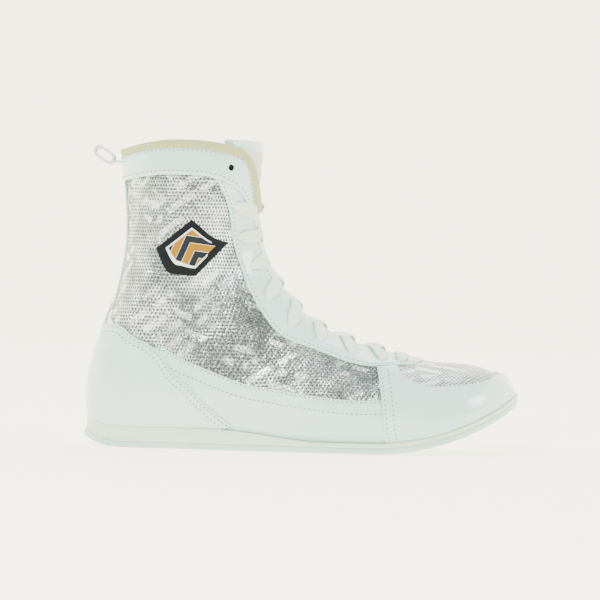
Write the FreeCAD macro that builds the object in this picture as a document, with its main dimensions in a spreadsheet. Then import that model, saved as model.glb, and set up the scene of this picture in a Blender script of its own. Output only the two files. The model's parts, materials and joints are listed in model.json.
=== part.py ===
import FreeCAD, Part
import math
import os
from FreeCAD import Vector

# High-top boxing boot for the right foot, lateral side towards -Y.
#
# The upper is drawn on a last: a smooth closed form whose sections run from its
# bottom or back line to its top or front line. A place on the last is a spot: a
# station (0 at the toe, growing to the collar) and an angle (0 on the crest, pi on
# the back seam). Panels are cut from that form in layers, as on a real upper.
# All lengths are millimetres. +X is the toe, +Z is up, the ground is Z = 0.

LATERAL = -1
MEDIAL = 1
SIDE_NAMES = {LATERAL: "lateral", MEDIAL: "medial"}

doc = FreeCAD.newDocument("BoxingBoot")

# ---------------------------------------------------------------- sizes
SIZES = {
    "boot_length": 290.0,
    "boot_height": 204.5,
    "ball_width": 98.0,
    "heel_sole": 13.6,
    "ball_sole": 7.0,
    "outsole_thickness": 3.8,
    "sole_margin": 1.2,
    "toe_spring_radius": 172.0,
    "heel_round_radius": 50.0,
    "leather_thickness": 1.3,
    "mesh_thickness": 1.0,
    "backing_thickness": 1.6,
    "lining_thickness": 0.8,
    "glue_gap": 0.08,
    "seam_gap": 0.6,
    "slide_gap": 0.5,
    "tongue_skin": 0.8,
    "tongue_foam": 2.4,
    "board_thickness": 1.6,
    "insole_thickness": 4.0,
    "board_gap": 3.6,
    "insole_gap": 4.0,
    "lace_diameter": 2.6,
    "lace_hole": 4.4,
    "aglet_length": 18.0,
    "tongue_half_width": 28.0,
    "flap_spread": 10.0,
    "loop_webbing": 1.8,
    "loop_width": 14.0,
    "loop_reach": 16.0,
    "badge_thickness": 1.4,
    "badge_ply": 0.5,
}

sheet = doc.addObject("Spreadsheet::Sheet", "Sizes")
for row, (alias, amount) in enumerate(SIZES.items(), start=1):
    sheet.set("A%d" % row, alias.replace("_", " "))
    sheet.set("B%d" % row, str(amount))
    sheet.setAlias("B%d" % row, alias)
doc.recompute()


def size(alias):
    """Value of one cell of the size sheet."""
    return float(getattr(sheet, alias))


# The last is drawn once at this size, and graded to the sizes of the sheet.
BASE_LENGTH = 290.0
BASE_HEIGHT = 204.5
BASE_WIDTH = 98.0
GRADE_X = size("boot_length") / BASE_LENGTH
GRADE_Y = size("ball_width") / BASE_WIDTH
GRADE_Z = size("boot_height") / BASE_HEIGHT

# Depths from the face of the mesh: outwards is positive.
LAYER_1 = size("glue_gap")
LAYER_1_TOP = LAYER_1 + size("leather_thickness")
LAYER_2 = LAYER_1_TOP + size("glue_gap")
LAYER_2_TOP = LAYER_2 + size("leather_thickness")
MESH_BACK = -size("mesh_thickness")
BACKING_FACE = MESH_BACK - size("glue_gap")
BACKING_BACK = BACKING_FACE - size("backing_thickness")
LINING_FACE = BACKING_BACK - size("glue_gap")
LINING_BACK = LINING_FACE - size("lining_thickness")
TONGUE_FACE = LINING_BACK - size("slide_gap")
TONGUE_FOAM_FACE = TONGUE_FACE - size("tongue_skin") - size("glue_gap")
TONGUE_FOAM_BACK = TONGUE_FOAM_FACE - size("tongue_foam")
TONGUE_LINING_FACE = TONGUE_FOAM_BACK - size("glue_gap")
TONGUE_BACK = TONGUE_LINING_FACE - size("tongue_skin")

# ---------------------------------------------------------------- the last
# Each station: bottom or back point (x, z), top or front point (x, z), lateral
# half width, medial half width, sideways shift, height of the widest place,
# squareness of the section.
STATIONS = [
    (80, -6, 141.5, 31, 34, 34, 5.0, 1.3, 0.88),
    (80, -6, 140.8, 38.5, 39, 38, 4.5, 1.3, 0.88),
    (80, -6, 137.3, 45.7, 43, 41.5, 3.5, 1.3, 0.88),
    (80, -6, 129, 53.5, 45, 43.5, 2.5, 1.3, 0.88),
    (80, -6, 114, 58.5, 46, 44.5, 1.5, 1.3, 0.88),
    (80, -6, 97, 60.0, 46.5, 45.5, 1.0, 1.3, 0.88),
    (80, -6, 80, 61.2, 46.5, 45.5, 0.5, 1.3, 0.88),
    (62, -6, 62, 64.0, 46.5, 45, 0.0, 1.3, 0.88),
    (40, -6, 42, 69.3, 46.5, 43.5, -0.5, 1.3, 0.88),
    (15, -6, 20, 78, 45, 40, -1.5, 1.3, 0.88),
    (-12, -5, 2, 89.5, 42.5, 37, -2.0, 1.3, 0.88),
    (-42, -4, -11, 104.5, 39.5, 35, -2.0, 1.3, 0.87),
    (-80, -3, -20, 116.5, 37, 34.5, -1.5, 1.3, 0.85),
    (-120, -1, -25, 126, 34.5, 34, -1.0, 1.3, 0.82),
    (-137, 8, -27.5, 134, 34, 33.5, -0.5, 1.3, 0.80),
    (-141.5, 24, -29.5, 141, 34, 33.5, 0, 1.3, 0.80),
    (-141.5, 43, -30.3, 148, 34.5, 34, 0, 1.25, 0.82),
    (-136, 67, -30, 157, 35.5, 35, 0, 1.2, 0.85),
    (-126.5, 94, -28.8, 167, 37, 36.5, 0, 1.15, 0.88),
    (-120.5, 122, -27.5, 178, 38.5, 38, 0, 1.1, 0.90),
    (-118.8, 144, -26.6, 187, 39.5, 39, 0, 1.05, 0.90),
    (-120.3, 167, -26.2, 196, 40, 39.5, 0, 1.0, 0.90),
    (-121.8, 187, -26.2, 204, 40.5, 40, 0, 1.0, 0.90),
    (-122.3, 202, -26.4, 211, 40.5, 40, 0, 1.0, 0.90),
]
LAST_STATION = len(STATIONS) - 1
HEEL_STATION = 13
ANGLE_WEIGHT = 8.0


def curve_through(points, knots=None):
    """Smooth curve through points, with its own knots when they are given."""
    curve = Part.BSplineCurve()
    if knots is None:
        curve.interpolate(Points=points)
    else:
        curve.interpolate(Points=points, Parameters=knots)
    return curve


def station_curve(column_a, column_b, scale_a, scale_b):
    """Curve of two columns of the station table, evenly timed by station."""
    rows = []
    for number, station in enumerate(STATIONS):
        rows.append(Vector(station[column_a] * scale_a, station[column_b] * scale_b, number))
    return curve_through(rows, [float(number) for number in range(len(rows))])


back_curve = station_curve(0, 1, GRADE_X, GRADE_Z)
front_curve = station_curve(2, 3, GRADE_X, GRADE_Z)
width_curve = station_curve(4, 5, GRADE_Y, GRADE_Y)
shift_curve = station_curve(6, 7, GRADE_Y, 1.0)
square_curve = station_curve(8, 8, 1.0, 1.0)


def form_at(station):
    """Half widths, sideways shift, place of the widest, squareness."""
    widths = width_curve.value(station)
    shift = shift_curve.value(station)
    return widths.x, widths.y, shift.x, shift.y, square_curve.value(station).x


def ends_of_section(station):
    back = back_curve.value(station)
    front = front_curve.value(station)
    return Vector(back.x, 0, back.y), Vector(front.x, 0, front.y)


def on_last(station, angle):
    """Point of the last at a station and an angle."""
    back, front = ends_of_section(station)
    lateral, medial, shift, widest, square = form_at(station)
    cosine = math.cos(angle)
    sine = math.sin(angle)
    along = math.copysign(abs(cosine) ** square, cosine)
    rise = max(0.0, (1 + along) / 2) ** widest
    half = lateral if sine < 0 else medial
    across = shift + half * math.copysign(abs(sine) ** square, sine)
    return back + (front - back) * rise + Vector(0, across, 0)


def outward(station, angle):
    """Unit normal of the last, away from the foot."""
    step = 0.02
    low = min(max(station - step, 0.0), LAST_STATION - 2 * step)
    ahead = on_last(low + 2 * step, angle) - on_last(low, angle)
    around = on_last(station, angle + step) - on_last(station, angle - step)
    normal = ahead.cross(around)
    back, front = ends_of_section(station)
    middle = (back + front) / 2 + Vector(0, form_at(station)[2], 0)
    if normal.dot(on_last(station, angle) - middle) < 0:
        normal = -normal
    return normal.normalize()


def place(spot, depth):
    """Point at a depth over or under the last, at spot = (station, angle)."""
    return on_last(*spot) + outward(*spot) * depth


def bisect(test, low, high):
    """Where test changes sign between low and high."""
    rising = test(low) < 0
    for _ in range(40):
        middle = (low + high) / 2
        if (test(middle) < 0) == rising:
            low = middle
        else:
            high = middle
    return (low + high) / 2


def locate(x, z):
    """Spot seen at x and z, given at the base size, on the positive side."""
    target = Vector(x * GRADE_X, 0, z * GRADE_Z)

    def beside(station):
        back, front = ends_of_section(station)
        return (front - back).cross(target - back).y

    station = bisect(beside, 0.5, LAST_STATION - 0.05)
    back, front = ends_of_section(station)
    _, _, _, widest, square = form_at(station)
    rise = (target - back).dot(front - back) / (front - back).dot(front - back)
    along = 2 * min(max(rise, 0.0), 1.0) ** (1 / widest) - 1
    cosine = math.copysign(abs(along) ** (1 / square), along)
    return station, math.acos(min(max(cosine, -1.0), 1.0))


def on_back_seam(z):
    """Spot on the back seam at a height given at the base size."""
    station = bisect(lambda at: back_curve.value(at).y - z * GRADE_Z, HEEL_STATION + 1, LAST_STATION)
    return station, math.pi


def on_crest(x):
    """Spot on the crest of the toe at an x given at the base size."""
    station = bisect(lambda at: x * GRADE_X - front_curve.value(at).x, 1.0, HEEL_STATION)
    return station, 0.0


# ---------------------------------------------------------------- sole heights
TOE_BREAK = 42.0 * GRADE_X
HEEL_BREAK = -118.0 * GRADE_X
WEDGE_BACK = -60.0 * GRADE_X
WEDGE_FRONT = 15.0 * GRADE_X


def ground_clearance(x):
    """Height of the underside of the sole."""
    if x > TOE_BREAK:
        radius = size("toe_spring_radius") * GRADE_X
        return radius - math.sqrt(max(radius ** 2 - (x - TOE_BREAK) ** 2, 0))
    if x < HEEL_BREAK:
        radius = size("heel_round_radius") * GRADE_X
        return radius - math.sqrt(max(radius ** 2 - (HEEL_BREAK - x) ** 2, 0))
    return 0.0


def sole_top(x):
    """Height of the face that the upper stands on."""
    share = min(max((x - WEDGE_BACK) / (WEDGE_FRONT - WEDGE_BACK), 0.0), 1.0)
    smooth = share * share * (3 - 2 * share)
    thickness = size("heel_sole") + (size("ball_sole") - size("heel_sole")) * smooth
    return ground_clearance(x) + thickness


def above_sole(spot, depth):
    """Height of a place of the upper above the sole, seam gap taken off."""
    point = place(spot, depth)
    return point.z - sole_top(point.x) - size("glue_gap")


def feather_angle(station, depth, side):
    """Angle at which a layer meets the sole on one side."""
    if above_sole((station, math.pi), depth) > 0:
        return math.pi
    return bisect(lambda angle: -above_sole((station, side * angle), depth), 0.02, math.pi)


def toe_tip_station(depth):
    return bisect(lambda at: above_sole((at, 0.0), depth), 0.05, 3.5)


def heel_station(depth):
    return bisect(lambda at: above_sole((at, math.pi), depth), HEEL_STATION - 0.5, 16.5)


# ---------------------------------------------------------------- rails of panels
def steps(count):
    return [number / (count - 1) for number in range(count)]


def drawn_rail(spots):
    """Rail along a smooth curve through spots, the same at every depth."""
    points = [Vector(station, angle * ANGLE_WEIGHT, 0) for station, angle in spots]
    curve = curve_through(points)

    def rail(depth, count, side):
        first, last = curve.FirstParameter, curve.LastParameter
        values = [curve.value(first + (last - first) * step) for step in steps(count)]
        return [(value.x, value.y / ANGLE_WEIGHT) for value in values]

    return rail


def seam_rail(start, end):
    """Rail straight between two spots in station and angle; an end may depend on the depth."""
    def rail(depth, count, side):
        first = start(depth, side) if callable(start) else start
        last = end(depth, side) if callable(end) else end
        return [(first[0] + (last[0] - first[0]) * step, first[1] + (last[1] - first[1]) * step)
                for step in steps(count)]

    return rail


def feather_rail(start, end):
    """Rail along the sole between two stations; 'toe' and 'heel' are its centre ends."""
    def rail(depth, count, side):
        ends = {"toe": toe_tip_station, "heel": heel_station}
        first = ends[start](depth) if start in ends else start
        last = ends[end](depth) if end in ends else end
        spots = []
        for step in steps(count):
            share = step
            if start in ends:
                share = step ** 2
            elif end in ends:
                share = 1 - (1 - step) ** 2
            station = first + (last - first) * share
            angle = feather_angle(station, depth, side)
            if start in ends and step == 0 or end in ends and step == 1:
                angle = 0.0 if "toe" in (start, end) else math.pi
            spots.append((station, angle))
        return spots

    return rail


def gap_angle(station, half_gap):
    """Angle at which the last is half_gap away from its crest line."""
    lateral, medial, _, _, square = form_at(station)
    half = (lateral + medial) / 2
    return math.asin(min((half_gap / half) ** (1 / square), 1.0))


# ---------------------------------------------------------------- panels
SEW_TOLERANCE = 0.02
COLUMNS = 25
ROWS = 11
ALL_WALLS = ("rail_a", "rail_b", "start", "end")

sub_parts = []


def even_curve(points):
    """Smooth curve through points, evenly timed, so that equal borders make equal curves."""
    return curve_through(points, [float(number) for number in range(len(points))])


def surface_through(grid):
    """Smooth surface through a grid of points: curves across, then curves through their poles."""
    across = [even_curve(line) for line in grid]
    columns = zip(*[curve.getPoles() for curve in across])
    along = [even_curve(list(column)) for column in columns]
    poles = [list(row) for row in zip(*[curve.getPoles() for curve in along])]
    first, other = along[0], across[0]
    surface = Part.BSplineSurface()
    surface.buildFromPolesMultsKnots(
        poles, first.getMultiplicities(), other.getMultiplicities(),
        first.getKnots(), other.getKnots(), False, False, first.Degree, other.Degree)
    return surface


def grid_surface(rail_a, rail_b, depth, side):
    """Surface over the spots between two rails, at one depth."""
    grid = []
    for spot_a, spot_b in zip(rail_a(depth, COLUMNS, side), rail_b(depth, COLUMNS, side)):
        station_a, angle_a = spot_a
        station_b, angle_b = spot_b
        line = []
        for share in steps(ROWS):
            station = station_a + (station_b - station_a) * share
            angle = angle_a + (angle_b - angle_a) * share
            line.append(place((station, side * angle), depth))
        grid.append(line)
    return surface_through(grid)


def border(surface):
    """The border curves of a surface, by the name of the wall that stands on each."""
    u_first, u_last, v_first, v_last = surface.bounds()
    return {
        "start": surface.uIso(u_first),
        "end": surface.uIso(u_last),
        "rail_a": surface.vIso(v_first),
        "rail_b": surface.vIso(v_last),
    }


def wall_between(outer_curve, inner_curve):
    """Ruled surface between two borders that share their knots."""
    surface = Part.BSplineSurface()
    surface.buildFromPolesMultsKnots(
        [outer_curve.getPoles(), inner_curve.getPoles()], [2, 2], outer_curve.getMultiplicities(),
        [0.0, 1.0], outer_curve.getKnots(), False, False, 1, outer_curve.Degree)
    return surface


def panel_shape(strips, top, bottom):
    """Solid between two depths, of strips (rail a, rail b, side, walls); strips share their missing walls."""
    faces = []
    for rail_a, rail_b, side, walls in strips:
        outer = grid_surface(rail_a, rail_b, top, side)
        inner = grid_surface(rail_a, rail_b, bottom, side)
        faces += [outer.toShape(), inner.toShape()]
        outer_border, inner_border = border(outer), border(inner)
        for wall in walls:
            faces.append(wall_between(outer_border[wall], inner_border[wall]).toShape())
    shell = Part.Shell(faces)
    shell.sewShape(SEW_TOLERANCE)
    solid = Part.Solid(shell)
    if solid.Volume < 0:
        solid.reverse()
    return solid


def add_feature(label, shape):
    """Sub-part whose shape is set here; its placement is the frame's own."""
    feature = doc.addObject("Part::Feature", label)
    feature.Label = label
    feature.Shape = shape
    feature.Placement = FreeCAD.Placement()
    sub_parts.append(feature)
    return feature


def punched(shape, holes, side):
    """Shape with a round hole through it at each spot."""
    reach = 5.0
    tools = []
    for station, angle in holes:
        spot = (station, side * angle)
        normal = outward(*spot)
        foot = place(spot, LINING_BACK) - normal * reach / 2
        length = reach + LAYER_2_TOP - LINING_BACK
        tools.append(Part.makeCylinder(size("lace_hole") / 2, length, foot, normal))
    return shape.cut(tools).Solids[0]


def side_panel(name, strips, top, bottom, side, holes=()):
    """Panel of one side of the boot; strips hold rail a, rail b and the walls."""
    shape = panel_shape([(rail_a, rail_b, side, walls) for rail_a, rail_b, walls in strips], top, bottom)
    if holes:
        shape = punched(shape, holes, side)
    add_feature(name + "_" + SIDE_NAMES[side], shape)


def both_sides(strips):
    """The same strips on the two sides of a panel that wraps the toe or the heel."""
    return [(rail_a, rail_b, side, walls) for side in SIDE_NAMES for rail_a, rail_b, walls in strips]


# ---------------------------------------------------------------- lines of the upper
SHAFT_MIDDLE = Vector(-85, 0, 150)


def spots_of(points):
    return [locate(x, z) for x, z in points]


def moved_out(points, distance):
    """The same points, each moved away from the middle of the shaft."""
    moved = []
    for x, z in points:
        away = Vector(x, 0, z) - SHAFT_MIDDLE
        moved.append((x + away.x / away.Length * distance, z + away.z / away.Length * distance))
    return moved


def gap_spots(pairs):
    """Spots at a distance from the crest line: pairs of station and half gap."""
    return [(station, gap_angle(station, half_gap * GRADE_Y)) for station, half_gap in pairs]


def heel_corner(depth, _side):
    return heel_station(depth), math.pi


def feather_spot(station):
    """End of a seam that runs down to the sole at a station."""
    return lambda depth, side: (station, feather_angle(station, depth, side))


CORNER_SPOT = locate(-42.5, 188.5)
SEAM_TOP_SPOT = on_back_seam(187)
KNEE_STATION = 11.2
VAMP_STATION = 7.3
TIP_STATION = 5.95

knee_throat = gap_spots([(KNEE_STATION, 13)])[0]
shaft_throat = [CORNER_SPOT] + spots_of([(-39.5, 181), (-37.5, 168), (-36, 158)])
shaft_throat += gap_spots([(15.2, 13), (13.0, 13)])
foot_throat = [knee_throat] + gap_spots([(10.0, 13), (9.0, 13), (8.0, 11.5), (VAMP_STATION, 9.5)])
trim_points = [
    (-114.5, 193.5), (-78.5, 197), (-51, 194), (-42.5, 189.5), (-39.5, 181), (-37.5, 168), (-36, 159)]
rim_points = [
    (-114.5, 198), (-78.5, 201.5), (-55, 199), (-41, 193.5), (-36, 183.5), (-33.5, 169), (-31.5, 157)]
band_points = [(-109.5, 178), (-82, 180), (-62, 178.5), (-51.5, 174.5), (-43.5, 167.5), (-39.5, 159)]
trim_line = [on_back_seam(193.0)] + spots_of(trim_points)
rim_line = [on_back_seam(197.5)] + spots_of(rim_points)
binding_inner = [on_back_seam(193.0 + size("seam_gap"))] + spots_of(moved_out(trim_points, size("seam_gap")))
band_bottom = [on_back_seam(176.5)] + spots_of(band_points)
eyestay_rear = spots_of([
    (-62.5, 182.5), (-56, 170), (-51.5, 158), (-49.5, 145), (-44.5, 124.5), (-37, 106), (-28.5, 91.5),
    (-14.5, 76), (7.5, 67.5), (30.5, 59.5), (56, 57.5), (74.5, 58.5)])
eyestay_throat = [locate(-44, 191.5)] + spots_of([(-39.5, 181), (-37.5, 168), (-36, 158)]) + gap_spots(
    [(15.2, 13), (13.0, 13), (KNEE_STATION, 13), (10.0, 13), (9.0, 13), (8.0, 11.5), (7.0, 8.5),
     (TIP_STATION, 2.5)])
rand_top = spots_of([
    (57, 36), (25, 35.5), (-1.5, 38.5), (-40, 44.5), (-68, 54.5), (-86, 62.5), (-103.5, 67.5)])
counter_edge = [on_back_seam(94.5)] + spots_of([
    (-119, 79), (-109.5, 72), (-99, 66.5), (-93.5, 61.5), (-79.5, 44.5), (-67.5, 33.5), (-53.5, 22),
    (-45, 16.5)])
WINDOW_REAR = locate(61, 56.5)
window_edge = [WINDOW_REAR] + spots_of([
    (66, 50), (72.5, 46.5), (80, 44.5), (92.5, 44), (104, 45), (116, 47), (127, 51.5)]) + [on_crest(136.5)]
puff_edge = spots_of([(77, 42), (92.5, 41.5), (104, 42.5), (116, 44.5), (127, 48.5)]) + [on_crest(137.6)]
stiffener_edge = [on_back_seam(80)] + spots_of([(-121, 74), (-108.5, 65.5)])
PUFF_REAR = 6.2
STIFFENER_FRONT = 11.95
HOLES = spots_of([
    (-51, 185.5), (-47, 160.5), (-43.5, 140.5), (-34.5, 121.5), (-24, 101.5), (-8.5, 84), (10.5, 74),
    (31.5, 65.5), (52, 61.5), (65, 60.5)])
RAND_FRONT = locate(58, 37.5)[0]
RAND_REAR = 11.6
COUNTER_FRONT = 11.45
TOE_REAR = 7.3
TOE_COLUMN = 6.6


def seam_share(start, end, share):
    return start[0] + (end[0] - start[0]) * share, start[1] + (end[1] - start[1]) * share


# ---------------------------------------------------------------- upper
def quarter_strips():
    """Whole side of the boot from the throat to the back seam and the sole."""
    back_seam = seam_rail(SEAM_TOP_SPOT, heel_corner)
    return [
        (drawn_rail(shaft_throat + [knee_throat]), back_seam, ("rail_a", "rail_b", "start")),
        (drawn_rail(foot_throat), feather_rail("heel", VAMP_STATION), ("rail_a", "rail_b", "end")),
    ]


COLLAR_PITCH = 12.0  # shortest distance between two stations at the collar


def collar_strip():
    """Zone of the collar above the mesh, behind its rounded corner."""
    gap = size("seam_gap") / COLLAR_PITCH
    station, angle = seam_share(SEAM_TOP_SPOT, CORNER_SPOT, 0.9)
    rear = (SEAM_TOP_SPOT[0] + gap, SEAM_TOP_SPOT[1])
    return [(drawn_rail(trim_line[:4]), seam_rail(rear, (station + gap, angle)), ALL_WALLS)]


def vamp_strips():
    """The toe box, from the vamp seam over the crest to the sole all round the toe."""
    rear_half = seam_rail((VAMP_STATION - 0.05, 0.0), feather_spot(VAMP_STATION - 0.05))
    return both_sides([(rear_half, feather_rail("toe", VAMP_STATION - 0.6), ("rail_a", "rail_b", "end"))])


for side in SIDE_NAMES:
    side_panel("quarter_mesh", quarter_strips(), 0.0, MESH_BACK, side, HOLES[1:-1])
    side_panel("quarter_backing", quarter_strips(), BACKING_FACE, BACKING_BACK, side, HOLES[1:-1])
    side_panel("quarter_lining", quarter_strips(), LINING_FACE, LINING_BACK, side, HOLES[1:-1])
    side_panel("collar_foam", collar_strip(), LAYER_1_TOP, BACKING_BACK, side)
    side_panel("collar_lining", collar_strip(), LINING_FACE, LINING_BACK, side)
    band = [(drawn_rail(trim_line), drawn_rail(band_bottom), ALL_WALLS)]
    side_panel("collar_band", band, LAYER_2_TOP, LAYER_2, side, HOLES[:1])
    binding = [(drawn_rail(rim_line), drawn_rail(binding_inner), ALL_WALLS)]
    side_panel("collar_binding", binding, LAYER_2_TOP, LINING_BACK, side)
    eyestay = [(drawn_rail(eyestay_throat), drawn_rail(eyestay_rear), ALL_WALLS)]
    side_panel("eyestay", eyestay, LAYER_1_TOP, LAYER_1, side, HOLES)
    rand = [(drawn_rail(rand_top), feather_rail(RAND_FRONT, RAND_REAR), ALL_WALLS)]
    side_panel("side_rand", rand, LAYER_1_TOP, LAYER_1, side)
    guard_rear = seam_rail(locate(48.5, 55.5), WINDOW_REAR)
    guard = [
        (guard_rear, feather_rail(TOE_REAR, TOE_COLUMN), ("rail_a", "rail_b", "start")),
        (drawn_rail(window_edge), feather_rail(TOE_COLUMN, "toe"), ("rail_a", "rail_b", "end")),
    ]
    side_panel("toe_guard", guard, LAYER_2_TOP, LAYER_2, side)

for name, top, bottom in (("vamp_mesh", 0.0, MESH_BACK), ("vamp_lining", LINING_FACE, LINING_BACK)):
    vamp = panel_shape(vamp_strips(), top, bottom)
    for side in SIDE_NAMES:
        vamp = punched(vamp, HOLES[-1:], side)
    add_feature(name, vamp)

FREE_EDGES = ("rail_a", "rail_b", "end")
counter_strip = (drawn_rail(counter_edge), feather_rail("heel", COUNTER_FRONT), FREE_EDGES)
add_feature("heel_counter", panel_shape(both_sides([counter_strip]), LAYER_2_TOP, LAYER_2))
stiffener_strip = (drawn_rail(stiffener_edge), feather_rail("heel", STIFFENER_FRONT), FREE_EDGES)
add_feature("counter_stiffener", panel_shape(both_sides([stiffener_strip]), LAYER_1_TOP, LAYER_1))
puff_strip = (drawn_rail(puff_edge), feather_rail(PUFF_REAR, "toe"), ("rail_a", "rail_b", "start"))
add_feature("toe_puff", panel_shape(both_sides([puff_strip]), LAYER_1_TOP, LAYER_1))

# ---------------------------------------------------------------- strip over the back seam
BACKSTAY_HALF = 0.16


def beside_seam(z, offset):
    station, angle = on_back_seam(z)
    return station, angle + offset


backstay_strip = (
    seam_rail(beside_seam(89, -BACKSTAY_HALF), beside_seam(181, -BACKSTAY_HALF)),
    seam_rail(beside_seam(89, BACKSTAY_HALF), beside_seam(181, BACKSTAY_HALF)),
    MEDIAL, ALL_WALLS)
add_feature("backstay", panel_shape([backstay_strip], LAYER_1_TOP, LAYER_1))

# ---------------------------------------------------------------- tongue
FLAP_STATION = 18.4
FLAP_GAP = 0.06
TONGUE_TOE_STATION = 7.7
FLAP_RISE = 0.75
TONGUE_TOP_STATION = 22.1
TOP_RISE = 0.55


def tongue_angle(station, narrower=0.0):
    return gap_angle(station, size("tongue_half_width") * GRADE_Y - narrower)


def tongue_edge(sign):
    """Edge of the fixed length of the tongue, from the vamp to the fold of its top."""
    stations = [TONGUE_TOE_STATION, 9.0, 10.5, 12.0, 13.5, 15.0, 16.7, FLAP_STATION]
    return drawn_rail([(station, sign * tongue_angle(station)) for station in stations])


def flap_rail(centre, rise, narrower):
    """Edge of the tongue's top from side to side; its sides stand higher by rise stations."""
    spots = []
    for share in (-1.0, -0.6, -0.3, 0.0, 0.3, 0.6, 1.0):
        station = centre + rise * share * share
        spots.append((station, share * tongue_angle(station, narrower)))
    return drawn_rail(spots)


tongue_strip = (tongue_edge(-1), tongue_edge(1), MEDIAL, ALL_WALLS)
flap_foot = flap_rail(FLAP_STATION + FLAP_GAP, FLAP_RISE, 0.5)
flap_crest = flap_rail(TONGUE_TOP_STATION, TOP_RISE, -size("flap_spread"))
flap_strip = (flap_foot, flap_crest, MEDIAL, ALL_WALLS)
TONGUE_LAYERS = {
    "cover": (TONGUE_FACE, TONGUE_FACE - size("tongue_skin")),
    "foam": (TONGUE_FOAM_FACE, TONGUE_FOAM_BACK),
    "lining": (TONGUE_LINING_FACE, TONGUE_BACK),
}
for layer, (top, bottom) in TONGUE_LAYERS.items():
    add_feature("tongue_" + layer, panel_shape([tongue_strip], top, bottom))
    add_feature("tongue_top_" + layer, panel_shape([flap_strip], top, bottom))

# ---------------------------------------------------------------- lace
LACE_OVER = LAYER_1_TOP + size("lace_diameter") / 2 + 0.3
LACE_UNDER = LINING_BACK - size("lace_diameter") / 2 - 0.25
CROSS_HIGH = 1.2
CROSS_LOW = CROSS_HIGH - size("lace_diameter") - 0.6
BAR_STATION = 17.75
ARC_SHARE = 0.45
TAIL_DEPTH = LACE_UNDER - 0.3
THROAT_GAPS = [(5.95, 2.5), (7.0, 8.5), (8.0, 11.5), (9.0, 13.0), (17.0, 13.0), (18.4, 18.0), (21.0, 22.0)]
LACED = HOLES[1:]
TAIL_GAPS = {LATERAL: 37.0, MEDIAL: 31.5}


def throat_gap(station):
    """Distance of the throat's edge from the crest line at a station."""
    for (before, gap_before), (after, gap_after) in zip(THROAT_GAPS, THROAT_GAPS[1:]):
        if station <= after:
            return gap_before + (gap_after - gap_before) * (station - before) / (after - before)
    return THROAT_GAPS[-1][1]


def lace_point(side, station, half_gap, depth):
    return place((station, side * gap_angle(station, half_gap * GRADE_Y)), depth)


def hole_points(side, hole, depths):
    station, angle = hole
    return [place((station, side * angle), depth) for depth in depths]


def crossing(side, hole, next_hole, high):
    """From a hole over the tongue to beneath the throat's other edge, towards the next hole."""
    start, end = hole[0], next_hole[0]
    near, middle, far = start + (end - start) * 0.2, (start + end) / 2, start + (end - start) * 0.8
    return [
        lace_point(side, near, throat_gap(near), LACE_OVER),
        lace_point(side, middle, 0.0, CROSS_HIGH if high else CROSS_LOW),
        lace_point(-side, far, throat_gap(far), LACE_UNDER),
    ]


def half_lace(side):
    """Lace from the bottom bar on one side, up through every hole to its last one."""
    holes = LACED[::-1]
    points = hole_points(side, holes[0], [LACE_OVER, LACE_UNDER])
    first_middle = (holes[0][0] + holes[1][0]) / 2
    below = LACE_UNDER if side == LATERAL else LACE_UNDER - size("lace_diameter") - 0.6
    points.append(lace_point(side, first_middle, 0.0, below))
    side = -side
    for number in range(1, len(holes) - 1):
        points += hole_points(side, holes[number], [LACE_UNDER, LACE_OVER])
        points += crossing(side, holes[number], holes[number + 1], side == LATERAL)
        side = -side
    return side, points


def tail(side, start, half_gap):
    """End of the lace, tucked down between the tongue and the lining."""
    stations = [start - 1.0 - step * 0.95 for step in range(5)]
    waver = [0.0, 1.2, -0.6, 1.0, -0.4]
    return [lace_point(side, station, half_gap + shift, TAIL_DEPTH)
            for station, shift in zip(stations, waver)]


def lace_route():
    side_a, points_a = half_lace(LATERAL)
    side_b, points_b = half_lace(MEDIAL)
    top = LACED[0]
    bar = [lace_point(LATERAL, BAR_STATION, 8.0, LACE_OVER), lace_point(MEDIAL, BAR_STATION, 8.0, LACE_OVER)]
    points_a += hole_points(side_a, top, [LACE_UNDER, LACE_OVER])
    points_a += bar
    points_a += hole_points(-side_a, top, [LACE_OVER, LACE_UNDER])
    points_a += tail(-side_a, top[0], TAIL_GAPS[MEDIAL])
    points_b += tail(side_b, top[0] - 0.6, TAIL_GAPS[LATERAL])
    bottom_bar = lace_point(MEDIAL, LACED[-1][0], 0.0, LACE_OVER)
    return points_a[::-1] + [bottom_bar] + points_b


def cord_path(points):
    """Wire of straight runs joined by tangent arcs, and the radii of the arcs."""
    edges = []
    radii = []
    start = points[0]
    for before, corner, after in zip(points, points[1:], points[2:]):
        towards, onwards = before - corner, after - corner
        shorter = min(towards.Length, onwards.Length)
        towards.normalize()
        onwards.normalize()
        half_turn = (math.pi - math.acos(min(1.0, max(-1.0, towards.dot(onwards))))) / 2
        radius = ARC_SHARE * shorter / math.tan(half_turn)
        first, last = corner + towards * ARC_SHARE * shorter, corner + onwards * ARC_SHARE * shorter
        inwards = (towards + onwards).normalize()
        middle = corner + inwards * (radius / math.cos(half_turn) - radius)
        edges.append(Part.LineSegment(start, first).toShape())
        edges.append(Part.Arc(first, middle, last).toShape())
        start = last
        radii.append(radius)
    edges.append(Part.LineSegment(start, points[-1]).toShape())
    return Part.Wire(edges), radii


lace_points = lace_route()
lace_path, lace_radii = cord_path(lace_points)
lace_start = (lace_points[1] - lace_points[0]).normalize()
lace_section = Part.Wire([Part.Circle(lace_points[0], lace_start, size("lace_diameter") / 2).toShape()])
lace_shape = lace_path.makePipeShell([lace_section], True, True)
lace = add_feature("lace", lace_shape)
print("lace length %.0f, volume %.0f of %.0f" % (
    lace_path.Length, lace_shape.Volume, lace_path.Length * math.pi * size("lace_diameter") ** 2 / 4))
print("lace radii", sorted(round(radius, 1) for radius in lace_radii)[:12])

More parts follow.
